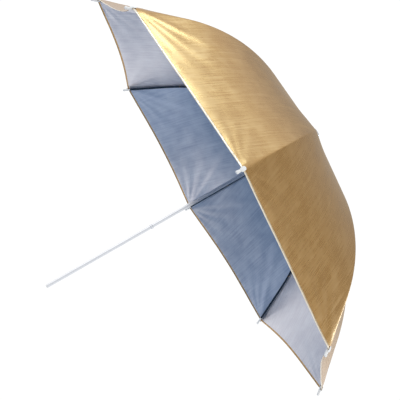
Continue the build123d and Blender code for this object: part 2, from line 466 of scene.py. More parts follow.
@dataclass(frozen=True)
class Thread:
    """Spun polyester sewing thread: matt, with a ply that runs round it."""

    name: str
    colour: str
    shade: str
    ply_mm: float = 0.5

    def material(self) -> bpy.types.Material:
        """Build the thread on the piece's own coordinates, in metres.

        Returns:
            The material.
        """
        material, tree, shader = new_material(self.name)
        place = add_node(tree, "ShaderNodeTexCoord").outputs["Object"]
        ply = add_node(
            tree,
            "ShaderNodeTexNoise",
            inputs={"Vector": place, "Scale": 1 / (self.ply_mm * MM), "Detail": 2.0},
        )
        ramp_between(tree, shader, ply.outputs["Fac"], [(0.35, self.shade), (0.65, self.colour)])
        shader.inputs["Roughness"].default_value = 0.7
        shader.inputs["Sheen Weight"].default_value = 0.3
        return material


@dataclass
class Finishes:
    """Every finish of the umbrella, built once."""

    gold: bpy.types.Material = field(init=False)
    silver: bpy.types.Material = field(init=False)
    hem: bpy.types.Material = field(init=False)
    plated: bpy.types.Material = field(init=False)
    blackened: bpy.types.Material = field(init=False)
    wire: bpy.types.Material = field(init=False)
    white: bpy.types.Material = field(init=False)
    black: bpy.types.Material = field(init=False)
    gold_thread: bpy.types.Material = field(init=False)

    def __post_init__(self) -> None:
        """Build the materials."""
        # Gold vapour coating on taffeta: a warm satin mirror with soft streaks along the warp.
        self.gold = MetallisedCloth("gold_metallised_taffeta", "#C1995F", "#C9A36B", "#BC9359", 0.28, 0.3).material()
        # Aluminium vapour coating on the same taffeta: a cool, slightly rougher mirror.
        self.silver = MetallisedCloth(
            "silver_metallised_taffeta", "#DDDBDF", "#E6E5E8", "#D2D0D6", 0.36, 0.0
        ).material()
        # The hem's outer face: a pale cream gold, a painted highlight that stands in for the light its rolled edge
        # catches as a cream line.
        self.hem = MetallisedCloth("hem_painted_highlight", "#EFE3CB", "#F5EDDC", "#E2D2B2", 0.3, 0.5).material()
        # Nickel-plated drawn tube: a bright mirror with fine lines along the shaft.
        self.plated = HardFinish(
            "nickel_plated_tube", "#E2E2E2", "#C9CACC", 1.0, 0.14, Pattern.DRAWN, 0.6
        ).material()
        # Blackened spring steel: blue-black oxide with patches worn lighter.
        self.blackened = HardFinish(
            "blackened_spring_steel", "#36434F", "#556372", 0.85, 0.36, Pattern.BLACKENED, 6.0
        ).material()
        # Drawn steel wire: a plain grey metal, duller than the plated tube.
        self.wire = HardFinish("drawn_steel_wire", "#A9A9AB", "#8E8E90", 1.0, 0.3, Pattern.DRAWN, 0.8).material()
        # Moulded white nylon: an even, slightly glossy white.
        self.white = HardFinish(
            "moulded_white_nylon", "#F4F3EF", "#E6E4DC", 0.0, 0.34, Pattern.MOULDED, 0.9
        ).material()
        # Moulded black nylon: an even satin black.
        self.black = HardFinish(
            "moulded_black_nylon", "#141416", "#242427", 0.0, 0.46, Pattern.MOULDED, 0.7
        ).material()
        # Spun thread: matt gold, darker between its plies.
        self.gold_thread = Thread("gold_sewing_thread", "#B9935B", "#8B6A3D").material()


# ---------------------------------------------------------------- geometry nodes


def stitch_tree() -> bpy.types.NodeTree:
    """Build the tree that sews a row of stitches along a line of edges.

    Returns:
        A geometry tree whose inputs are the line, the stitch's pitch, length and thickness, and the thread.
    """
    tree = bpy.data.node_groups.new("running_stitch", "GeometryNodeTree")
    face = tree.interface
    face.new_socket("Geometry", in_out="INPUT", socket_type="NodeSocketGeometry")
    for name in ("Pitch", "Stitch length", "Thread thickness"):
        face.new_socket(name, in_out="INPUT", socket_type="NodeSocketFloat")
    face.new_socket("Thread", in_out="INPUT", socket_type="NodeSocketMaterial")
    face.new_socket("Geometry", in_out="OUTPUT", socket_type="NodeSocketGeometry")
    given = add_node(tree, "NodeGroupInput").outputs
    line = add_node(tree, "GeometryNodeMeshToCurve", inputs={"Mesh": given["Geometry"]})
    even = add_node(
        tree,
        "GeometryNodeResampleCurve",
        {"mode": "LENGTH"},
        {"Curve": line.outputs["Curve"], "Length": given["Pitch"]},
    )
    seed = add_node(
        tree,
        "GeometryNodeMeshUVSphere",
        inputs={"Segments": 6, "Rings": 4, "Radius": 0.5},
    )
    size = add_node(
        tree,
        "ShaderNodeCombineXYZ",
        inputs={"X": given["Thread thickness"], "Y": given["Thread thickness"], "Z": given["Stitch length"]},
    )
    tangent = add_node(tree, "GeometryNodeInputTangent")
    turn = add_node(
        tree,
        "FunctionNodeAlignRotationToVector",
        {"axis": "Z"},
        {"Vector": tangent.outputs["Tangent"]},
    )
    placed = add_node(
        tree,
        "GeometryNodeInstanceOnPoints",
        inputs={
            "Points": even.outputs["Curve"],
            "Instance": seed.outputs["Mesh"],
            "Rotation": turn.outputs["Rotation"],
            "Scale": size.outputs["Vector"],
        },
    )
    real = add_node(tree, "GeometryNodeRealizeInstances", inputs={"Geometry": placed.outputs["Instances"]})
    dressed = add_node(
        tree,
        "GeometryNodeSetMaterial",
        inputs={"Geometry": real.outputs["Geometry"], "Material": given["Thread"]},
    )
    add_node(tree, "NodeGroupOutput", inputs={"Geometry": dressed.outputs["Geometry"]})
    return tree


def sewn(
    name: str,
    lines: Sequence[np.ndarray],
    tree: bpy.types.NodeTree,
    values: dict[str, Any],
) -> bpy.types.Object:
    """Run a geometry tree over lines of points and keep the plain mesh.

    Args:
        name: The piece's name.
        lines: One array of points for each line.
        tree: The geometry tree.
        values: Its inputs by name.

    Returns:
        The finished piece.
    """
    points, edges = [], []
    for line in lines:
        edges += [(len(points) + i, len(points) + i + 1) for i in range(len(line) - 1)]
        points += [tuple(p) for p in line]
    mesh = bpy.data.meshes.new(name + "_line")
    mesh.from_pydata(points, edges, [])
    carrier = bpy.data.objects.new(name + "_line", mesh)
    bpy.context.scene.collection.objects.link(carrier)
    modifier = carrier.modifiers.new("nodes", "NODES")
    modifier.node_group = tree
    for item in tree.interface.items_tree:
        if item.in_out == "INPUT" and item.name in values:
            modifier[item.identifier] = values[item.name]
    bpy.context.view_layer.update()
    evaluated = carrier.evaluated_get(bpy.context.evaluated_depsgraph_get())
    made_mesh = bpy.data.meshes.new_from_object(evaluated)
    made_mesh.name = name
    made_mesh.polygons.foreach_set("use_smooth", [True] * len(made_mesh.polygons))
    made = bpy.data.objects.new(name, made_mesh)
    bpy.context.scene.collection.objects.link(made)
    bpy.data.objects.remove(carrier)
    return made


# ---------------------------------------------------------------- canopy


@dataclass(frozen=True)
class RibLine:
    """A rib's centre line: straight, a tangent arc, straight again, from its pivot to the canopy's corner."""

    pivot_x: float
    pivot_radius: float
    corner_radius: float = 500 * MM
    depth: float = 278 * MM
    inner_slope: float = math.radians(15.2)
    outer_slope: float = math.radians(49.5)
    inner_run: float = 205 * MM

    def _solve(self) -> tuple[float, float]:
        """Solve the bend, so that the line ends at the corner.

        Returns:
            The arc's radius and the length of the outer straight.
        """
        a, b = self.inner_slope, self.outer_slope
        left_reach = self.corner_radius - self.pivot_radius - self.inner_run * math.cos(a)
        left_depth = self.depth - self.inner_run * math.sin(a)
        arc_reach, arc_depth = math.sin(b) - math.sin(a), math.cos(a) - math.cos(b)
        share = arc_reach * math.sin(b) - arc_depth * math.cos(b)
        radius = (left_reach * math.sin(b) - left_depth * math.cos(b)) / share
        return radius, (arc_reach * left_depth - arc_depth * left_reach) / share

    @property
    def arc_radius(self) -> float:
        """Radius of the bend."""
        return self._solve()[0]

    @property
    def arc_length(self) -> float:
        """Length of the bend."""
        return self.arc_radius * (self.outer_slope - self.inner_slope)

    @property
    def length(self) -> float:
        """Length from pivot to corner."""
        return self.inner_run + self.arc_length + self._solve()[1]

    def at(self, length: np.ndarray, lift: float | np.ndarray = 0.0) -> tuple[np.ndarray, np.ndarray, np.ndarray]:
        """Find places on the rib.

        Args:
            length: Lengths from the pivot.
            lift: Heights above the centre line, on the crown's side.

        Returns:
            Distances from the shaft's axis, places along the shaft, and slopes.
        """
        length = np.asarray(length, float)
        bend, arc = self.arc_radius, self.arc_length
        straight = np.minimum(length, self.inner_run)
        slope = self.inner_slope + np.clip(length - self.inner_run, 0, arc) / bend
        beyond = np.maximum(length - self.inner_run - arc, 0)
        a, b = self.inner_slope, self.outer_slope
        radius = self.pivot_radius + straight * math.cos(a) + bend * (np.sin(slope) - math.sin(a))
        depth = straight * math.sin(a) + bend * (math.cos(a) - np.cos(slope))
        radius = radius + beyond * math.cos(b) + lift * np.sin(slope)
        depth = depth + beyond * math.sin(b) - lift * np.cos(slope)
        return radius, self.pivot_x - depth, slope


@dataclass(frozen=True)
class Wrinkles:
    """Heights of what keeps the cloth from lying taut, and how far from a rib, a corner or the hem each reaches."""

    slack: float = 1.0 * MM
    slack_start: float = 35 * MM
    pucker: float = 0.12 * MM
    pucker_pitch: float = 12 * MM
    pucker_start: float = 2.5 * MM
    pucker_reach: float = 11 * MM
    pleat: float = 0.32 * MM
    pleats_in_a_radian: float = 17
    pleat_start: float = 30 * MM
    pleat_reach: float = 120 * MM
    fold: float = 1.1 * MM
    fold_turn: float = 0.42  # radians from the rib, about the corner
    fold_half_width: float = 8 * MM
    fold_start: float = 22 * MM
    fold_reach: float = 80 * MM
    gather: float = 0.7 * MM
    gather_reach: float = 45 * MM
    ripple: float = 0.35 * MM
    ripple_reach: float = 14 * MM
    flare: float = 1.4 * MM
    flare_start: float = 60 * MM
    flare_reach: float = 16 * MM


class Part(Enum):
    """What a panel is made up of: the crest stays over its rib, and the flaps lie on either side of it."""

    CREST = 0
    LEFT = -1
    RIGHT = 1


@dataclass
class Canopy:
    """The cloth on its ribs, one panel to a rib, with its hem, seams, stitches and ties."""

    rib: RibLine
    finishes: Finishes
    marks: Wrinkles = Wrinkles()
    start_radius: float = 13 * MM
    lift: float = 2.9 * MM  # middle of the cloth above the rib's centre line
    thickness: float = 0.45 * MM
    pull_in: float = 11 * MM  # cloth drawn in halfway along a hem
    scallop: float = 16 * MM  # hem drawn up halfway between two corners
    hem_width: float = 4.6 * MM
    hem_thickness: float = 1.3 * MM
    hem_overhang: float = 0.6 * MM  # past the cloth's edge
    hem_around: int = 14
    hem_steps: int = 60
    seam_half_width: float = 3.5 * MM
    crest: float = 0.006  # rounding over a rib, as a share of half a gore
    corner_crest: float = 0.03  # what the corners add to it
    corner_start: float = 0.78  # how far down the panel that starts, and over how much of it it grows
    corner_run: float = 0.2
    crest_half_width: float = 6 * MM
    rows: int = 130
    flap_columns: int = 32
    crest_columns: int = 13
    folded_share: float = 0.215  # of a flap's width, once the umbrella is folded
    stitch_pitch: float = 3.4 * MM
    stitch_length: float = 2.7 * MM
    stitch_thickness: float = 0.5 * MM
    seam_allowance: float = 0.55 * MM  # thickness of the turned-in cloth
    tie_places: tuple[float, ...] = (0.47, 0.74)  # shares of the rib's length
    tie_laps: int = 3
    tie_radii: tuple[float, float] = (2.0 * MM, 2.1 * MM)  # across the rib and above it

    @property
    def half_angle(self) -> float:
        """Half of the angle between two ribs."""
        return RIB_TURN / 2

    @property
    def first_length(self) -> float:
        """Length along the rib at which the cloth starts."""
        return (self.start_radius - self.rib.pivot_radius) / math.cos(self.rib.inner_slope)

    def down_to(self, share: np.ndarray) -> np.ndarray:
        """Turn shares of a panel's length into lengths along its rib."""
        return self.first_length + (self.rib.length - self.first_length) * share

    def smooth(self, share: np.ndarray, across: np.ndarray, lift: float) -> np.ndarray:
        """Place points of the taut cloth on rib 1's side.

        Args:
            share: How far down the panel, from 0 at the crown to 1 at the hem.
            across: From -1 and 1 at the panel's sides to 0 on the rib.
            lift: Height above the rib's centre line.

        Returns:
            Points, in the last axis.
        """
        rounding = self.crest + self.corner_crest * smoothstep((share - self.corner_start) / self.corner_run)
        size = (np.sqrt(across**2 + rounding**2) - rounding) / (np.sqrt(1 + rounding**2) - rounding)
        ease = size * (2 - size)
        length = self.first_length + (self.rib.length - self.scallop * ease - self.first_length) * share
        rib_radius, x, slope = self.rib.at(length, lift)
        angle = self.half_angle * np.abs(across)
        pull = self.pull_in * (rib_radius / self.rib.corner_radius) ** 1.5 * ease
        flat = math.cos(self.half_angle) / np.cos(self.half_angle * (1 - size))
        radius = rib_radius * flat - pull * np.sin(slope)
        x = x - pull * np.cos(slope)
        side = np.sign(across)
        return np.stack([x, -radius * np.sin(angle) * side, radius * np.cos(angle)], axis=-1)

    def wrinkles(self, share: np.ndarray, across: np.ndarray, rib: int) -> np.ndarray:
        """Work out how far the cloth stands off its taut shape.

        Args:
            share: How far down the panel, from 0 to 1.
            across: From -1 to 1 across the panel.
            rib: The rib's number.

        Returns:
            Heights along the cloth's outward normal, in metres.
        """
        marks = self.marks
        length = self.down_to(share)
        radius = self.rib.at(length)[0]
        seam_gap = radius * self.half_angle * np.abs(across)
        hem_gap = (1 - share) * self.rib.length
        bearing = RIB_TURN * (rib - 1) + self.half_angle * across
        y, z = -radius * np.sin(bearing), radius * np.cos(bearing)
        broad, fine, phase = self._noises(y, z, length)
        free = smoothstep(seam_gap / marks.slack_start)
        slack = marks.slack * broad * free
        waves = np.sin(math.tau * length / marks.pucker_pitch + 5 * phase)
        pucker = marks.pucker * np.exp(-seam_gap / marks.pucker_reach) * waves
        pucker = pucker * smoothstep(seam_gap / marks.pucker_start)
        corner = np.hypot(seam_gap, hem_gap)
        fan = np.arctan2(seam_gap, hem_gap + 1 * MM)
        spread = smoothstep(corner / marks.pleat_start) * np.exp(-corner / marks.pleat_reach) * free
        pleats = marks.pleat * spread * np.sin(marks.pleats_in_a_radian * fan + 3.5 * phase + rib)
        off_fold = corner * np.sin(fan - marks.fold_turn)
        fold = marks.fold * np.exp(-((off_fold / marks.fold_half_width) ** 2) - corner / marks.fold_reach)
        fold = fold * smoothstep(corner / marks.fold_start)
        crown_gap = radius - self.start_radius
        gathers = marks.gather * np.exp(-crown_gap / marks.gather_reach) * np.sin(math.pi * 3 * across) ** 2
        ripple = marks.ripple * np.exp(-hem_gap / marks.ripple_reach) * fine * free
        flare = marks.flare * np.exp(-hem_gap / marks.flare_reach) * smoothstep(seam_gap / marks.flare_start)
        return slack + pucker + pleats + fold - gathers + ripple - flare

    def _noises(self, y: np.ndarray, z: np.ndarray, length: np.ndarray) -> tuple[np.ndarray, np.ndarray, np.ndarray]:
        """Sample three noises at places of the cloth.

        Args:
            y: Places across the shaft.
            z: Heights above the shaft.
            length: Lengths along the rib.

        Returns:
            A broad noise, a fine one and a slow one for phases, each near -1 to 1.
        """
        flat = [
            (
                noise.noise(Vector((a * 9, b * 9, c * 3))),
                noise.noise(Vector((a * 60, b * 60, c * 20 + 7))),
                noise.noise(Vector((a * 5 + 3, b * 5, c * 5))),
            )
            for a, b, c in zip(y.ravel(), z.ravel(), length.ravel())
        ]
        sampled = np.array(flat).T.reshape(3, *y.shape)
        return sampled[0], sampled[1], sampled[2]

    def sideways(self, share: np.ndarray, part: Part, columns: int) -> np.ndarray:
        """Spread columns of points over one part of a panel, closer together beside the crest.

        Args:
            share: How far down the panel each row is.
            part: The part of the panel.
            columns: Number of points in a row.

        Returns:
            Places across the panel, rows by columns.
        """
        radius = self.rib.at(self.down_to(share))[0]
        edge = np.minimum(self.crest_half_width / (radius * self.half_angle), 0.6)[:, None]
        if part is Part.CREST:
            return edge * np.linspace(-1, 1, columns)[None, :]
        outward_share = np.linspace(0, 1, columns)[None, :] ** 1.2
        return part.value * (edge + (1 - edge) * outward_share)

    def spread(self, part: Part) -> tuple[np.ndarray, np.ndarray]:
        """Lay out the grid of one part of a panel.

        Args:
            part: The part of the panel.

        Returns:
            Shares down the panel and places across it, both as grids.
        """
        down = 1 - (1 - np.linspace(0, 1, self.rows)) ** 1.12
        columns = self.crest_columns if part is Part.CREST else self.flap_columns
        across = self.sideways(down, part, columns)
        return np.repeat(down[:, None], columns, axis=1), across

    def middle(self, share: np.ndarray, across: np.ndarray, rib: int) -> tuple[np.ndarray, np.ndarray]:
        """Place the middle of the cloth, wrinkles and all, on its own rib's side.

        Args:
            share: How far down the panel, from 0 to 1.
            across: From -1 to 1 across the panel.
            rib: The rib's number.

        Returns:
            Points and outward normals.
        """
        step = 1e-4
        place = self.smooth(share, across, self.lift)
        down = self.smooth(share + step, across, self.lift) - self.smooth(share - step, across, self.lift)
        inner, outer = np.clip(across - step, -1, 1), np.clip(across + step, -1, 1)
        over = self.smooth(share, outer, self.lift) - self.smooth(share, inner, self.lift)
        normal = np.cross(down, over)
        normal /= np.linalg.norm(normal, axis=-1, keepdims=True)
        normal *= np.sign(normal[..., :1])
        place = place + normal * self.wrinkles(share, across, rib)[..., None]
        return turned(place, rib), turned(normal, rib)

    def cloth(self, rib: int, part: Part) -> tuple[bpy.types.Object, float]:
        """Build one part of a panel: gold face, silver face and thin edges.

        Args:
            rib: The rib's number.
            part: The part of the panel.

        Returns:
            The piece and the area that its cloth was cut to.
        """
        share, across = self.spread(part)
        place, normal = self.middle(share, across, rib)
        rows, columns = share.shape
        half = self.thickness / 2
        skins = np.concatenate([(place + normal * half).reshape(-1, 3), (place - normal * half).reshape(-1, 3)])
        outer = grid_faces(rows, columns)
        inner = grid_faces(rows, columns, rows * columns, flip=True)
        count = rows * columns
        rim = list(range(columns))
        rim += [row * columns + columns - 1 for row in range(1, rows)]
        rim += [(rows - 1) * columns + column for column in range(columns - 2, -1, -1)]
        rim += [row * columns for row in range(rows - 2, 0, -1)]
        edge = [(rim[i], rim[i - 1], rim[i - 1] + count, rim[i] + count) for i in range(len(rim))]
        looks = [self.finishes.gold, self.finishes.silver]
        piece = mesh_object(self.called("cloth", rib, part), skins, outer + inner + edge, looks)
        faces_by_look = [0] * len(outer) + [1] * len(inner) + [0] * len(edge)
        piece.data.polygons.foreach_set("material_index", faces_by_look)
        self.lay_uv(piece, share, across, rib)
        return outward(piece), self.cut_area(share, across)

    def lay_uv(self, piece: bpy.types.Object, share: np.ndarray, across: np.ndarray, rib: int) -> None:
        """Give the cloth coordinates in metres along its grain, measured from the middle of each gore.

        Args:
            piece: The panel.
            share: How far down the panel, for each point of one skin.
            across: Places across the panel, for each point of one skin.
            rib: The rib's number.
        """
        length = self.down_to(share)
        width = self.rib.at(length)[0] * math.sin(self.half_angle)
        sideways = (width * (1 - np.abs(across))).ravel()
        lengthways = length.ravel()
        side = np.sign(across).ravel()
        count = share.size
        layer = piece.data.uv_layers.new(name="cloth")
        values = np.zeros((len(piece.data.loops), 2))
        for polygon in piece.data.polygons:
            corners = [piece.data.loops[i].vertex_index % count for i in polygon.loop_indices]
            hand = 1.0 if sum(side[c] for c in corners) >= 0 else -1.0
            gore = rib if hand > 0 else rib - 1 or RIB_COUNT
            for loop_index, corner in zip(polygon.loop_indices, corners):
                values[loop_index] = (-hand * sideways[corner] + gore, lengthways[corner])
        layer.data.foreach_set("uv", values.ravel())

    def cut_area(self, share: np.ndarray, across: np.ndarray) -> float:
        """Measure the cloth of one part before it was put up, from its taut shape.

        Args:
            share: How far down the panel each point is.
            across: Where each point is across it.

        Returns:
            The area, in square metres.
        """
        place = self.smooth(share, across, self.lift)
        one = place[1:, :-1] - place[:-1, :-1]
        two = place[:-1, 1:] - place[:-1, :-1]
        return float(np.linalg.norm(np.cross(one, two), axis=-1).sum())

    def called(self, kind: str, rib: int, part: Part) -> str:
        """Name a piece after its rib and its part of the panel."""
        return f"{kind}_{rib}" if part is Part.CREST else f"{kind}_{rib}_{part.name.lower()}"

    def hem_line(self, rib: int, part: Part, inset: float, steps: int) -> tuple[np.ndarray, np.ndarray, np.ndarray]:
        """Follow the cloth's edge along one part of a panel.

        Args:
            rib: The rib's number.
            part: The part of the panel.
            inset: Distance from the edge, up the cloth.
            steps: Number of points.

        Returns:
            Points, outward normals, and directions up the cloth.
        """
        across = self.sideways(np.ones(1), part, steps)[0]
        share = np.full_like(across, 1 - inset / self.rib.length)
        place, normal = self.middle(share, across, rib)
        above, _ = self.middle(share - 4 * MM / self.rib.length, across, rib)
        up = above - place
        up /= np.linalg.norm(up, axis=-1, keepdims=True)
        return place, normal, up

    def hem(self, rib: int, part: Part) -> bpy.types.Object:
        """Build one part of the folded hem: a flat, rounded band that wraps the cloth's edge.

        Args:
            rib: The rib's number.
            part: The part of the panel.

        Returns:
            The piece.
        """
        around, steps = self.hem_around, self.crest_columns if part is Part.CREST else self.hem_steps
        place, normal, up = self.hem_line(rib, part, 0.0, steps)
        rings = []
        for step in range(steps):
            ring = []
            for turn in np.linspace(0, math.tau, around, endpoint=False):
                high = (0.5 - 0.5 * math.cos(turn)) * self.hem_width - self.hem_overhang
                side = math.copysign(abs(math.sin(turn)) ** 0.7, math.sin(turn)) * self.hem_thickness / 2
                ring.append(place[step] + up[step] * high + normal[step] * side)
            rings.append(ring)
        points, faces = loop_tube(np.array(rings))
        # The hem's outer half takes the pale finish, a painted highlight; its inner half stays plain gold.
        looks = [self.finishes.hem, self.finishes.gold]
        piece = mesh_object(self.called("hem", rib, part), points, faces, looks)
        self.strip_uv(piece, around, steps)
        inner = [int(face.index % around >= around // 2) for face in piece.data.polygons]
        piece.data.polygons.foreach_set("material_index", inner)
        return outward(piece)

    def strip_uv(self, piece: bpy.types.Object, around: int, steps: int) -> None:
        """Lay a band's coordinates round it and along it, in metres.

        Args:
            piece: The band.
            around: Points in one ring.
            steps: Rings in the band.
        """
        layer = piece.data.uv_layers.new(name="cloth")
        values = np.zeros((len(piece.data.loops), 2))
        run = self.rib.corner_radius * 2 * math.sin(self.half_angle) / steps
        for loop in piece.data.loops:
            ring, step = divmod(loop.vertex_index, around)
            values[loop.index] = (abs(step - around / 2) * MM, ring * run)
        layer.data.foreach_set("uv", values.ravel())

    def seam(self, rib: int) -> bpy.types.Object:
        """Build the seam allowance: two turned-in edges of cloth between the silver face and the rib.

        Args:
            rib: The rib's number.

        Returns:
            The piece.
        """
        rows, columns = 90, 9
        down = np.linspace(0.02, 1 - 8 * MM / self.rib.length, rows)
        radius = self.rib.at(self.down_to(down))[0]
        sideways = np.linspace(-1, 1, columns) * self.seam_half_width
        across = np.clip(sideways[None, :] / (radius[:, None] * self.half_angle), -0.9, 0.9)
        share = np.repeat(down[:, None], columns, axis=1)
        place, normal = self.middle(share, across, rib)
        top = place - normal * (self.thickness / 2 + 0.02 * MM)
        thinned = self.seam_allowance * (1 - 0.5 * np.abs(np.linspace(-1, 1, columns)) ** 4)
        bottom = top - normal * thinned[None, :, None]
        rings = np.concatenate([top, bottom[:, ::-1]], axis=1)
        points, faces = loop_tube(rings)
        piece = mesh_object(f"seam_{rib}", points, faces, [self.finishes.silver])
        self.strip_uv(piece, 2 * columns, rows)
        return outward(piece)

    def stitches(self, rib: int, part: Part, tree: bpy.types.NodeTree) -> bpy.types.Object:
        """Sew one part of the hem's two rows of stitches, one on each face.

        Args:
            rib: The rib's number.
            part: The part of the panel.
            tree: The geometry tree that sews.

        Returns:
            The piece.
        """
        place, normal, _ = self.hem_line(rib, part, self.hem_width / 2, self.hem_steps)
        proud = self.hem_thickness / 2 + 0.05 * MM
        rows = [place + normal * proud, place - normal * proud]
        return sewn(self.called("hem_stitches", rib, part), rows, tree, self.thread_values())

    def thread_values(self) -> dict[str, Any]:
        """List the stitch tree's inputs.

        Returns:
            The inputs' values by name.
        """
        return {
            "Pitch": self.stitch_pitch,
            "Stitch length": self.stitch_length,
            "Thread thickness": self.stitch_thickness,
            "Thread": self.finishes.gold_thread,
        }

    def rib_ties(self, rib: int, tree: bpy.types.NodeTree) -> bpy.types.Object:
        """Wind the thread loops that hold the cloth to its rib, at two places along it.

        Args:
            rib: The rib's number.
            tree: The geometry tree that sews.

        Returns:
            The piece.
        """
        loops = []
        turns = np.linspace(0, math.tau, 25)
        half_width, half_height = self.tie_radii
        for place_share in self.tie_places:
            length = self.rib.length * place_share
            for lap in range(self.tie_laps):
                along = length + lap * 0.7 * MM
                lift = 0.4 * MM + half_height * np.cos(turns)
                radius, x, _ = self.rib.at(np.full_like(turns, along), lift)
                loops.append(np.stack([x, half_width * np.sin(turns), radius], axis=-1))
        values = self.thread_values() | {"Pitch": 1.1 * MM, "Stitch length": 1.5 * MM}
        return sewn(f"rib_ties_{rib}", [turned(loop, rib) for loop in loops], tree, values)

    def hang(self, rib: int, part: Part, pieces: Sequence[bpy.types.Object]) -> None:
        """Hang a part of a panel, and what is sewn to it, on its rib, and hide the frame's own panel.

        Args:
            rib: The rib's number.
            part: The part of the panel.
            pieces: The cloth, then what is sewn to it.
        """
        for piece in pieces:
            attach(piece, f"rib_arm_{rib}")
            if part is not Part.CREST:
                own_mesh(piece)
        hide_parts(f"canopy_panel_{rib}")
        round(self.rib.length - self.first_length, 3)

    def build(self) -> None:
        """Make the whole canopy, a panel at a time."""
        tree = stitch_tree()
        for rib in range(1, RIB_COUNT + 1):
            total = 0.0
            for part in Part:
                cloth, area = self.cloth(rib, part)
                trims = [self.hem(rib, part)]
                if part is Part.CREST:
                    trims += [self.seam(rib), self.rib_ties(rib, tree)]
                else:
                    trims.append(self.stitches(rib, part, tree))
                self.hang(rib, part, [cloth, *trims])
                total += area
            LOG.info("panel %d: %.4f square metres of cloth", rib, total)


# ---------------------------------------------------------------- hard parts


@dataclass
class Tips:
    """The white nylon caps on the ribs' ends, each with a flat tongue that the canopy's corner is sewn to."""

    rib: RibLine
    finishes: Finishes
    start_gap: float = 0.6 * MM
    length: float = 14.2 * MM
    radius: float = 3.25 * MM
    sleeve: float = 7 * MM  # how far it runs back over the rib, under the cloth
    tongue_length: float = 9 * MM
    tongue_width: float = 7.5 * MM
    tongue_rise: float = 1.7 * MM

    def profile(self) -> list[tuple[float, float]]:
        """Outline the cap: a sleeve, a collar, a waist with the thread's groove, and a ball end.

        Returns:
            Pairs of place along the cap and radius.
        """
        r, pole = self.radius, 0.02 * self.radius
        shape = [(-self.sleeve, pole), (-self.sleeve, 0.7 * r), (0.0, 0.72 * r)]
        shape += [(0.25 * MM, 0.8 * r), (2.6 * MM, 0.86 * r)]
        shape += [(3.0 * MM, 0.74 * r), (3.9 * MM, 0.74 * r), (4.3 * MM, 0.86 * r), (6.6 * MM, 0.84 * r)]
        ball = self.length - r
        for angle in np.linspace(math.radians(125), 0, 14):
            shape.append((ball + r * math.cos(angle), max(r * math.sin(angle), pole)))
        return shape

    def tongue(self) -> tuple[np.ndarray, list[tuple[int, ...]]]:
        """Outline the flat tongue that the canopy's corner is sewn to: it runs from the cap over the cloth.

        Returns:
            The points, along the rib, across it and above it, and the faces.
        """
        rings, around = [], 12
        for share in np.linspace(0, 1, 12):
            place = 3.2 * MM - share * (3.2 * MM + self.tongue_length)
            width = self.tongue_width / 2 * math.sqrt(max(1 - max(share - 0.7, 0) ** 2 / 0.0905, 0.02))
            rise = self.tongue_rise * float(smoothstep(np.array(share / 0.3)))
            ring = []
            for turn in np.linspace(0, math.tau, around, endpoint=False):
                side = math.copysign(abs(math.cos(turn)) ** 0.5, math.cos(turn)) * width
                over = math.copysign(abs(math.sin(turn)) ** 0.5, math.sin(turn)) * 0.4 * MM
                ring.append((place, side, self.radius - 0.7 * MM + rise + over))
            rings.append(ring)
        return loop_tube(np.array(rings))

    def build(self) -> None:
        """Make each cap on its rib's end."""
        radius, x, slope = (float(v) for v in self.rib.at(np.array(self.rib.length + self.start_gap)))
        points, faces = lathe(self.profile(), 28)
        strap, strap_faces = self.tongue()
        faces = faces + [tuple(index + len(points) for index in face) for face in strap_faces]
        points = np.concatenate([points, strap])
        along = np.array([-math.sin(slope), 0.0, math.cos(slope)])
        across = np.array([0.0, 1.0, 0.0])
        over = -np.cross(along, across)
        placed = np.array([x, 0.0, radius]) + points @ np.array([along, across, over])
        for rib in range(1, RIB_COUNT + 1):
            cap = outward(mesh_object(f"tip_cap_{rib}", turned(placed, rib), faces, [self.finishes.white]))
            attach(cap, f"rib_arm_{rib}")
            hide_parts(f"rib_tip_{rib}")
        LOG.info("%d tip caps", RIB_COUNT)


@dataclass
class Crown:
    """The cloth rosette under the crown cap."""

    finishes: Finishes
    thickness: float = 0.8 * MM
    petals: int = 48
    pinking: float = 0.45 * MM  # how far the zigzag edge goes in and out
    wave: float = 0.18 * MM
    waves: int = 8
    hole: float = 4.2 * MM
    rings: int = 14
    flat_out_to: float = 10 * MM  # radius at which the cloth starts to fall

    def upper_face(self, outer: float, flat_x: float, drop: float) -> np.ndarray:
        """Place the points of the rosette's outer face.

        Args:
            outer: Its radius.
            flat_x: Place of its flat middle along the shaft.
            drop: How far its edge falls below the middle.

        Returns:
            Rings by points by three coordinates.
        """
        around = self.petals * 4
        face = []
        for share in (ring / (self.rings - 1) for ring in range(self.rings)):
            row = []
            for turn in (math.tau * step / around for step in range(around)):
                edge = self.pinking * math.cos(self.petals * turn) * share**8
                radius = self.hole + (outer - self.pinking - self.hole) * share + edge
                fall = drop * float(smoothstep(np.array((radius - self.flat_out_to) / (11 * MM)))) * 0.98
                wave = self.wave * math.sin(self.waves * turn + 1.0) * share
                x = flat_x + self.thickness - 0.2 * MM - fall + wave
                row.append((x, radius * math.cos(turn), radius * math.sin(turn)))
            face.append(row)
        return np.array(face)

    def build(self) -> None:
        """Make the rosette: a shallow cone of gold cloth with a pinked edge."""
        low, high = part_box("canopy_rosette")
        outer = (high.z - low.z) / 2 - 0.2 * MM
        upper = self.upper_face(outer, high.x - self.thickness, high.x - low.x - self.thickness)
        lower = upper - np.array([self.thickness * 0.75, 0, 0])
        points, faces = loop_tube(np.concatenate([upper, lower[::-1]], axis=0), capped=False)
        count, last = self.petals * 4, 2 * self.rings - 1
        faces += [(last * count + i, last * count + (i + 1) % count, (i + 1) % count, i) for i in range(count)]
        piece = mesh_object("crown_rosette", points, faces, [self.finishes.gold])
        layer = piece.data.uv_layers.new(name="cloth")
        corners = [piece.data.vertices[loop.vertex_index].co for loop in piece.data.loops]
        layer.data.foreach_set("uv", np.array([(corner.y, corner.z) for corner in corners]).ravel())
        outward(piece)
        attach(piece, "shaft")
        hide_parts("canopy_rosette")
        LOG.info("rosette %.0f mm across", 2 * outer / MM)


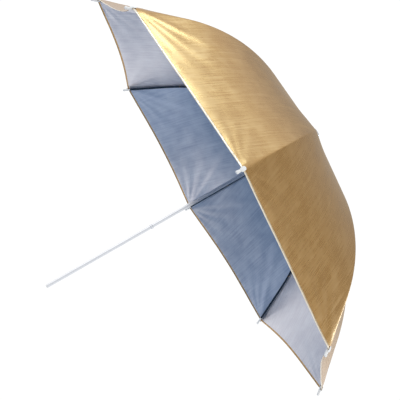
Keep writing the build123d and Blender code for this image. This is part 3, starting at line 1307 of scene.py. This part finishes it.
@dataclass
class Hardware:
    """The pieces whose shape comes from the frame: they only get their finish here."""

    finishes: Finishes

    def dress(self) -> None:
        """Give each steel and nylon piece its material."""
        groups: list[tuple[bpy.types.Material, list[str]]] = [
            (self.finishes.plated, ["shaft_tube", "lower_stop_ring", "upper_stop_pin", "crown_cap", "catch_lever"]),
            (self.finishes.wire, ["notch_pin", "catch_pin", "notch_wire", "runner_wire"]),
            (self.finishes.black, ["top_notch", "runner_sleeve"]),
            (self.finishes.white, ["shaft_end_plug"]),
        ]
        for rib in range(1, RIB_COUNT + 1):
            groups.append((self.finishes.blackened, [f"rib_{rib}", f"stretcher_{rib}"]))
            groups.append((self.finishes.wire, [f"rib_rivet_{rib}"]))
        for material, names in groups:
            for name in names:
                for place in frame["nodes"][name].material_slots:
                    place.material = material
        LOG.info("dressed %d pieces of hardware", sum(len(names) for _, names in groups))


# ---------------------------------------------------------------- studio


@dataclass
class Studio:
    """A white room with a pale floor, tinted patches for the cloth to reflect, and three soft boxes."""

    rim_x: float
    floor_drop: float = 1.25
    floor_radius: float = 1.7
    floor_sides: int = 96
    floor_glow: float = 0.25
    room: tuple[float, ...] = (0.93, 0.95, 1.0, 1.0)
    backdrop: tuple[float, ...] = (1.05, 1.05, 1.05, 1.0)  # what the camera sees behind the umbrella

    def floor(self) -> None:
        """Lay the round pale floor."""
        points = [
            (self.rim_x + self.floor_radius * math.cos(a), self.floor_radius * math.sin(a), -self.floor_drop)
            for a in np.linspace(0, math.tau, self.floor_sides, endpoint=False)
        ]
        material, _, shader = new_material("studio_floor_paint")
        shader.inputs["Base Color"].default_value = linear("#F4F4F4")
        shader.inputs["Roughness"].default_value = 0.8
        shader.inputs["Emission Color"].default_value = (1, 1, 1, 1)
        shader.inputs["Emission Strength"].default_value = self.floor_glow
        sides = [tuple(range(self.floor_sides))]
        mesh_object("studio_floor", np.array(points), sides, [material], smooth=False)

    def world(self) -> None:
        """Light the room: nearly white, with tinted patches in the directions that the cloth reflects."""
        world = bpy.data.worlds.new("white_studio")
        bpy.context.scene.world = world
        world.use_nodes = True
        tree = world.node_tree
        tree.nodes.clear()
        looking = add_node(tree, "ShaderNodeTexCoord").outputs["Generated"]
        # Each has a direction, the cosines at which it starts and is full, and a colour.
        patches = [
            ((-0.96, 0.05, -0.04), (0.38, 0.82), "#627C9C"),
            ((-0.88, -0.47, -0.06), (0.9, 0.99), "#A6BCDA"),
            ((0.6, 0.79, -0.1), (0.72, 0.99), "#B8B2A8"),
            ((0.88, 0.14, -0.46), (0.82, 0.97), "#C4C0B8"),
        ]
        colour: Any = self.room
        for direction, (start, full), hex_colour in patches:
            facing = add_node(
                tree,
                "ShaderNodeVectorMath",
                {"operation": "DOT_PRODUCT"},
                {0: looking, 1: Vector(direction).normalized()},
            )
            share = add_node(
                tree,
                "ShaderNodeMapRange",
                {"interpolation_type": "SMOOTHSTEP"},
                {"Value": facing.outputs["Value"], "From Min": start, "From Max": full},
            )
            mix = add_node(
                tree,
                "ShaderNodeMix",
                {"data_type": "RGBA"},
                {0: share.outputs["Result"], 6: colour, 7: linear(hex_colour)},
            )
            colour = mix.outputs[2]
        seen = add_node(tree, "ShaderNodeLightPath").outputs["Is Camera Ray"]
        plain = add_node(tree, "ShaderNodeMix", {"data_type": "RGBA"}, {0: seen, 6: colour, 7: self.backdrop})
        light = add_node(tree, "ShaderNodeBackground", inputs={"Color": plain.outputs[2], "Strength": 1.0})
        add_node(tree, "ShaderNodeOutputWorld", inputs={"Surface": light.outputs["Background"]})

    def soft_box(self, name: str, place: Vector, aim: Vector, size: float, power: float, colour: str) -> None:
        """Hang a square soft box.

        Args:
            name: The light's name.
            place: Where it hangs.
            aim: What it points at.
            size: Its side, in metres.
            power: Its power, in watts.
            colour: Its colour, as an sRGB hex string.
        """
        data = bpy.data.lights.new(name, "AREA")
        data.shape = "SQUARE"
        data.size = size
        data.energy = power
        data.color = linear(colour)[:3]
        lamp = bpy.data.objects.new(name, data)
        lamp.location = place
        lamp.rotation_mode = "QUATERNION"
        lamp.rotation_quaternion = (aim - place).to_track_quat("-Z", "Y")
        bpy.context.scene.collection.objects.link(lamp)

    def camera(self) -> None:
        """Set the camera almost in the plane of the rim, a little to the open side, and roll it."""
        distance, to_open_side = 1.806, math.radians(7.611)
        below, pan, tilt = math.radians(0.828), math.radians(0.7), math.radians(-0.072)
        roll, lens = math.radians(29.73), 72.8
        nearest = Vector((0, -math.cos(below), -math.sin(below)))
        away = math.cos(to_open_side) * nearest + math.sin(to_open_side) * Vector((-1, 0, 0))
        forward = -away
        right = (Vector((1, 0, 0)) - forward * forward.x).normalized()
        up = right.cross(forward)
        for axis, angle in (("up", pan), ("right", tilt), ("forward", roll)):
            spin = Matrix.Rotation(angle, 3, {"up": up, "right": right, "forward": forward}[axis])
            right, up, forward = spin @ right, spin @ up, spin @ forward
        basis = Matrix((right, up, -forward)).transposed()
        data = bpy.data.cameras.new("camera")
        data.lens = lens
        data.sensor_width = 36
        data.clip_start, data.clip_end = 0.01, 50
        seen_from = bpy.data.objects.new("camera", data)
        centre = Vector((self.rim_x, 0, 0))
        seen_from.matrix_world = Matrix.Translation(centre + distance * away) @ basis.to_4x4()
        bpy.context.scene.collection.objects.link(seen_from)
        bpy.context.scene.camera = seen_from

    def build(self) -> None:
        """Set up the floor, the lights and the camera."""
        self.camera()
        self.floor()
        self.world()
        middle = Vector((self.rim_x + 0.14, 0, 0))
        self.soft_box("right_soft_box", middle + Vector((1.6, -0.62, 1.12)), middle, 0.4, 6, "#BFE0FF")
        self.soft_box("top_soft_box", middle + Vector((-0.3, -0.4, 2.2)), middle, 1.6, 6, "#FFFFFF")
        self.soft_box("low_soft_box", middle + Vector((0.94, 0.38, -1.08)), middle, 0.24, 1.6, "#CFE6FF")
        bpy.context.scene.view_settings.view_transform = "Standard"


# ---------------------------------------------------------------- the umbrella


def main() -> None:
    """Build the umbrella round its frame, and light it."""
    logging.basicConfig(level=logging.INFO, format="%(name)s: %(message)s")
    joints = {joint["name"]: joint for joint in frame["joints"]}
    pivot = Vector(joints["rib_hinge_1"]["pos_m"])
    rib = RibLine(pivot_x=pivot.x, pivot_radius=pivot.z)
    finishes = Finishes()
    Studio(rim_x=pivot.x - rib.depth).build()
    Hardware(finishes).dress()
    Canopy(rib, finishes).build()
    Tips(rib, finishes).build()
    Crown(finishes).build()


if __name__ == "__main__":
    main()
